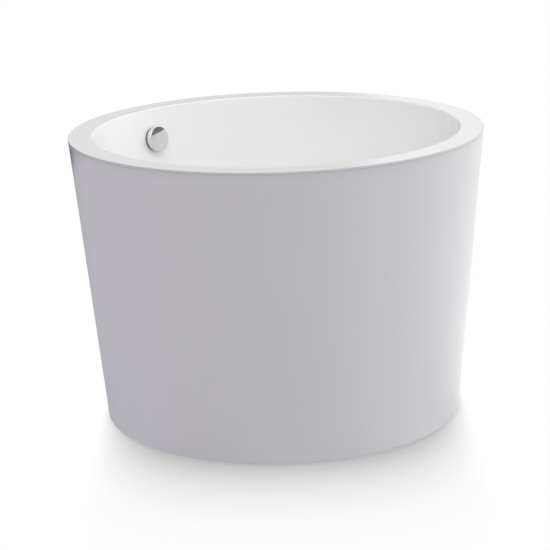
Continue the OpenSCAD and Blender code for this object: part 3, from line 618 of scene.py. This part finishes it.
def knob():
    """A thick disc with a slightly domed face, hollow behind, and a key's hole in its underside."""
    dome_r = (KNOB_R ** 2 + KNOB_DOME ** 2) / (2 * KNOB_DOME)
    front, depth = KNOB_BACK + KNOB_T, KNOB_BACK + KNOB_HOLLOW_D
    wall_in = KNOB_R - KNOB_WALL_T
    face_rs = [KNOB_R * (1 - k / KNOB_FACE_STEPS) for k in range(1, KNOB_FACE_STEPS + 1)]
    disc = lathe("knob_disc", [
        (0, depth, 0),
        (SPINDLE_R, depth, 0),
        (SPINDLE_R, KNOB_BACK, 0.3 * MM),
        (KNOB_HUB_R, KNOB_BACK, 0.5 * MM),
        (KNOB_HUB_R, depth, 1 * MM),
        (wall_in, depth, 1 * MM),
        (wall_in, KNOB_BACK, 0.4 * MM),
        (KNOB_R, KNOB_BACK, 1 * MM),
        (KNOB_R, front - KNOB_DOME, KNOB_EDGE_R),
        *[(r, front - dome_r + sqrt(dome_r ** 2 - r ** 2), 0) for r in face_rs],
    ], SMALL_SEGMENTS)
    key_hole = lathe("key_cutter", [
        (0, 0, 0),
        (GRUB_HOLE_R, 0, 0),
        (GRUB_HOLE_R, 2 * KNOB_R, 0),
        (0, 2 * KNOB_R, 0),
    ], KEY_SEGMENTS)
    key_hole.data.transform(Matrix.Translation((0, 0, GRUB_HOLE_W)) @ Matrix.Rotation(pi / 2, 4, "X"))
    combine(disc, key_hole, "DIFFERENCE")
    dress(on_wall(disc), "knob", "chrome", "overflow_knob")


def drain():
    """The chrome flange in the floor and the plug's cap."""
    sleeve_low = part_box("drain_flange")[0].z
    flange = lathe("drain_ring", [
        (THROAT_R, sleeve_low, 0.3 * MM),
        (SLEEVE_R, sleeve_low, 0.3 * MM),
        (SLEEVE_R, DRAIN_TOP - DRAIN_FLANGE_T, 0),
        (DRAIN_FLANGE_R, DRAIN_TOP - DRAIN_FLANGE_T, 0.2 * MM),
        (DRAIN_FLANGE_R, DRAIN_TOP, DRAIN_FLANGE_EDGE_R),
        (SEAT_TOP_R, DRAIN_TOP, 0.6 * MM),
        (SEAT_R, DRAIN_TOP - SEAT_FALL, 0.3 * MM),
        (THROAT_R, DRAIN_TOP - SEAT_FALL, 0.3 * MM),
    ], SMALL_SEGMENTS)
    dress(flange, "tub", "chrome", "drain_flange")
    plug_low, plug_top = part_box("drain_plug")[0].z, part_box("drain_plug")[1].z
    cap = lathe("plug_cap", [
        (0, plug_low + PLUG_STEM_D, 0),
        (PLUG_STEM_R, plug_low + PLUG_STEM_D, 0),
        (PLUG_STEM_R, plug_low, 0),
        (PLUG_R - PLUG_CHAMFER, plug_low, 0.3 * MM),
        (PLUG_R, plug_low + PLUG_CHAMFER, 0.3 * MM),
        (PLUG_R, plug_low + PLUG_EDGE_H, 1 * MM),
        (PLUG_CROWN_R, plug_low + PLUG_CROWN_H, PLUG_BLEND_R),
        (0, plug_top, 0),
    ], SMALL_SEGMENTS)
    dress(cap, "plug", "chrome", "drain_plug")


def thread(name, low, high):
    """A foot's stud, with its V thread, closed at both ends. Its shape is one turn's points, as (height, depth)."""
    depth = THREAD_DEPTH * STUD_PITCH
    flank = (1 - THREAD_CREST - THREAD_ROOT) / 2
    root = THREAD_CREST + flank
    shape = [(0, 0), (THREAD_CREST * STUD_PITCH, 0), (root * STUD_PITCH, depth), ((1 - flank) * STUD_PITCH, depth)]
    steps = ceil((high - low) / STUD_PITCH + 2) * THREAD_SEGMENTS
    verts, faces = [], []
    for k in range(steps + 1):
        turns = k / THREAD_SEGMENTS
        base = low + (turns - 1) * STUD_PITCH
        verts += [((STUD_R - d) * cos(2 * pi * turns), (STUD_R - d) * sin(2 * pi * turns), base + h) for h, d in shape]
    for k in range(steps):
        at, after = 4 * k, 4 * (k + 1)
        faces += [(at + p, after + p, after + p + 1, at + p + 1) for p in range(3)]
        if k + 1 + THREAD_SEGMENTS <= steps:
            turn = 4 * THREAD_SEGMENTS
            faces.append((at + 3, after + 3, after + turn, at + turn))
    mesh = new_mesh(name, verts, faces)
    work = bmesh.new()
    work.from_mesh(mesh)
    for height, way in ((low, -1), (high, 1)):
        bmesh.ops.bisect_plane(work, geom=work.verts[:] + work.edges[:] + work.faces[:],
                               plane_co=(0, 0, height), plane_no=(0, 0, way), clear_outer=True)
        rim = [e for e in work.edges if e.is_boundary and all(abs(v.co.z - height) < ON_PLANE for v in e.verts)]
        bmesh.ops.contextual_create(work, geom=rim)
    work.to_mesh(mesh)
    work.free()
    tidy_mesh(mesh)
    return linked(name, mesh)


def collar(name):
    """A foot's hexagon collar, chamfered top and bottom as a nut is."""
    low, high = COLLAR_LOW, COLLAR_LOW + COLLAR_H
    corners = [(COLLAR_R * cos(k * pi / 3), COLLAR_R * sin(k * pi / 3)) for k in range(6)]
    mesh = new_mesh(name, [(x, y, z) for z in (low, high) for x, y in corners],
                    [tuple(range(6)), tuple(range(6, 12))]
                    + [(k, (k + 1) % 6, 6 + (k + 1) % 6, 6 + k) for k in range(6)])
    tidy_mesh(mesh)
    block = linked(name, mesh)
    chamfer_r = CHAMFER_FROM * COLLAR_R * cos(pi / 6)
    chamfer_h = (COLLAR_R - chamfer_r) * tan(CHAMFER_SLOPE)
    turned = lathe("chamfer", [
        (0, low, 0),
        (chamfer_r, low, 0),
        (COLLAR_R, low + chamfer_h, 0),
        (COLLAR_R, high - chamfer_h, 0),
        (chamfer_r, high, 0),
        (0, high, 0),
    ], CHAMFER_SEGMENTS)
    combine(block, turned, "INTERSECT")
    return block


def feet():
    """Threaded studs with their hexagon collars, one for each foot."""
    for name in [n for n in frame["nodes"] if n.startswith("foot_stud_")]:
        corner = name.removeprefix("foot_stud_")
        low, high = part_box(name)
        middle = Matrix.Translation(((low.x + high.x) / 2, (low.y + high.y) / 2, 0))
        stud = thread("stud_thread_" + corner, low.z, high.z)
        stud.data.transform(middle)
        dress(stud, "foot_" + corner, "zinc_steel", name)
        hexagon = collar("stud_collar_" + corner)
        hexagon.data.transform(middle)
        dress(hexagon, "foot_" + corner, "zinc_steel")


def camera():
    """The photograph's camera."""
    forward = TO_BACK * cos(CAMERA_PITCH) - UP * sin(CAMERA_PITCH)
    over = TO_BACK * sin(CAMERA_PITCH) + UP * cos(CAMERA_PITCH)
    right = TO_RIGHT * cos(CAMERA_ROLL) - over * sin(CAMERA_ROLL)
    top = TO_RIGHT * sin(CAMERA_ROLL) + over * cos(CAMERA_ROLL)
    lens = bpy.data.cameras.new("photo_camera")
    lens.lens = CAMERA_LENS
    lens.clip_end = CAMERA_SEES_TO
    made = linked("photo_camera", lens)
    made.matrix_world = Matrix.Translation(CAMERA_PLACE) @ Matrix((right, top, -forward)).transposed().to_4x4()
    bpy.context.scene.camera = made


def level(way_round):
    """The level direction that lies way_round degrees round from the right towards the back."""
    return TO_RIGHT * cos(radians(way_round)) + TO_BACK * sin(radians(way_round))


def along(tree, place, direction):
    """How far a place lies in a direction."""
    return node(tree, "ShaderNodeVectorMath", {0: place, 1: direction}, operation="DOT_PRODUCT").outputs["Value"]


def smooth_step(tree, value, start, full):
    """0 below start and 1 above full."""
    return node(tree, "ShaderNodeMapRange", {"Value": value, "From Min": start, "From Max": full},
                interpolation_type="SMOOTHSTEP").outputs[0]


def lobe(tree, way, direction, start, full):
    """How near way is to direction: 0 below the cosine start, and 1 above the cosine full."""
    return smooth_step(tree, along(tree, way, direction.normalized()), start, full)


def glow(tree, kind, colour, strength=1.0, **settings):
    """Light of a colour, of the kind Background in the world or Emission on a surface."""
    return node(tree, "ShaderNode" + kind, {"Color": (*colour, 1), "Strength": strength}, **settings).outputs[0]


def added(tree, first, second):
    """Both shaders together. The first may be none."""
    return second if first is None else node(tree, "ShaderNodeAddShader", {0: first, 1: second}).outputs[0]


def blended(tree, factor, first, second):
    """A shader that goes over from the first to the second as factor goes from 0 to 1."""
    return node(tree, "ShaderNodeMixShader", {0: factor, 1: first, 2: second}).outputs[0]


def room():
    """The room's light: white behind the tub, soft lights round it, and a dark card that gloss alone sees."""
    world = bpy.data.worlds.new("room")
    bpy.context.scene.world = world
    world.use_nodes = True
    tree = world.node_tree
    tree.nodes.clear()
    way = node(tree, "ShaderNodeTexCoord").outputs["Generated"]
    light = None
    for name, (way_round, height, start, full, cut_off, colour) in ROOM_LIGHTS.items():
        direction = level(way_round) * cos(radians(height)) + UP * sin(radians(height))
        strength = lobe(tree, way, direction, start, full)
        if cut_off:
            strength = maths(tree, "MULTIPLY", strength, lobe(tree, way, TO_RIGHT, *WINDOW_EDGE))
        light = added(tree, light, glow(tree, "Background", colour, strength, name=name))
    rays = node(tree, "ShaderNodeLightPath").outputs
    direction, start, full, tone = DARK_CARD
    carded = maths(tree, "MULTIPLY", lobe(tree, way, direction, start, full), rays["Is Glossy Ray"])
    light = blended(tree, carded, light, glow(tree, "Background", (tone, tone, tone)))
    shown = blended(tree, rays["Is Camera Ray"], light, glow(tree, "Background", (1, 1, 1)))
    node(tree, "ShaderNodeOutputWorld", {"Surface": shown})


def falling(tree, span, end, inner, outer):
    """1 where span is 0, and 0 where it is end or more either way, with a curve of two powers between."""
    share = maths(tree, "POWER", maths(tree, "ABSOLUTE", maths(tree, "DIVIDE", span, end)), inner)
    return maths(tree, "POWER", maths(tree, "MAXIMUM", maths(tree, "SUBTRACT", 1.0, share), 0.0), outer)


def floor_seen(tree, spot):
    """The floor as the camera sees it: white, with the tub's shade and the dark line of contact."""
    shade = maths(tree, "MULTIPLY", falling(tree, along(tree, spot, TO_BACK), *SHADE_BACK),
                  falling(tree, along(tree, spot, TO_RIGHT), *SHADE_ACROSS))
    lit = maths(tree, "SUBTRACT", 1.0, maths(tree, "MULTIPLY", shade, SHADE_DEPTH))
    open_share = node(tree, "ShaderNodeAmbientOcclusion", {"Distance": CONTACT_REACH},
                      samples=CONTACT_SAMPLES).outputs["AO"]
    near = maths(tree, "MULTIPLY_ADD", open_share, 1 - CONTACT_LEAST, CONTACT_LEAST)
    tone = maths(tree, "MAXIMUM", maths(tree, "MULTIPLY", lit, near), SHADE_LEAST)
    return glow(tree, "Emission", (1, 1, 1), tone)


def floor_light(tree, spot, is_glossy):
    """The floor as the tub sees it: grey, lit from some sides, and in one part black for gloss alone."""
    side = node(tree, "ShaderNodeVectorMath", {0: spot}, operation="NORMALIZE").outputs[0]
    light = node(tree, "ShaderNodeBsdfDiffuse", {"Color": (FLOOR_BOUNCE, FLOOR_BOUNCE, FLOOR_BOUNCE, 1)}).outputs[0]
    for name, (way_round, start, colour) in FLOOR_LIGHTS.items():
        strength = lobe(tree, side, level(way_round), start, 1.0)
        light = added(tree, light, glow(tree, "Emission", colour, strength, name=name))
    way_round, start, full, nearest, farthest = DARK_FLOOR
    far = node(tree, "ShaderNodeVectorMath", {0: spot}, operation="LENGTH").outputs["Value"]
    dark = maths(tree, "MULTIPLY", lobe(tree, side, level(way_round), start, full),
                 smooth_step(tree, far, nearest, farthest))
    return blended(tree, maths(tree, "MULTIPLY", dark, is_glossy), light, glow(tree, "Emission", (0, 0, 0)))


def floor():
    """A white floor, bright enough to vanish except near the tub."""
    mesh = new_mesh("floor", [(x * FLOOR_REACH, y * FLOOR_REACH, 0) for x, y in ((-1, -1), (1, -1), (1, 1), (-1, 1))],
                    [(0, 1, 2, 3)])
    tidy_mesh(mesh)
    ground = linked("floor", mesh)
    made = bpy.data.materials.new("white_floor")
    made.use_nodes = True
    tree = made.node_tree
    tree.nodes.clear()
    spot = node(tree, "ShaderNodeNewGeometry").outputs["Position"]
    rays = node(tree, "ShaderNodeLightPath").outputs
    surface = blended(tree, rays["Is Camera Ray"], floor_light(tree, spot, rays["Is Glossy Ray"]),
                      floor_seen(tree, spot))
    node(tree, "ShaderNodeOutputMaterial", {"Surface": surface})
    mesh.materials.append(made)


finish_nodes()
basin()
skirt()
knob()
drain()
feet()
camera()
room()
floor()
bpy.context.scene.view_settings.view_transform = "Standard"
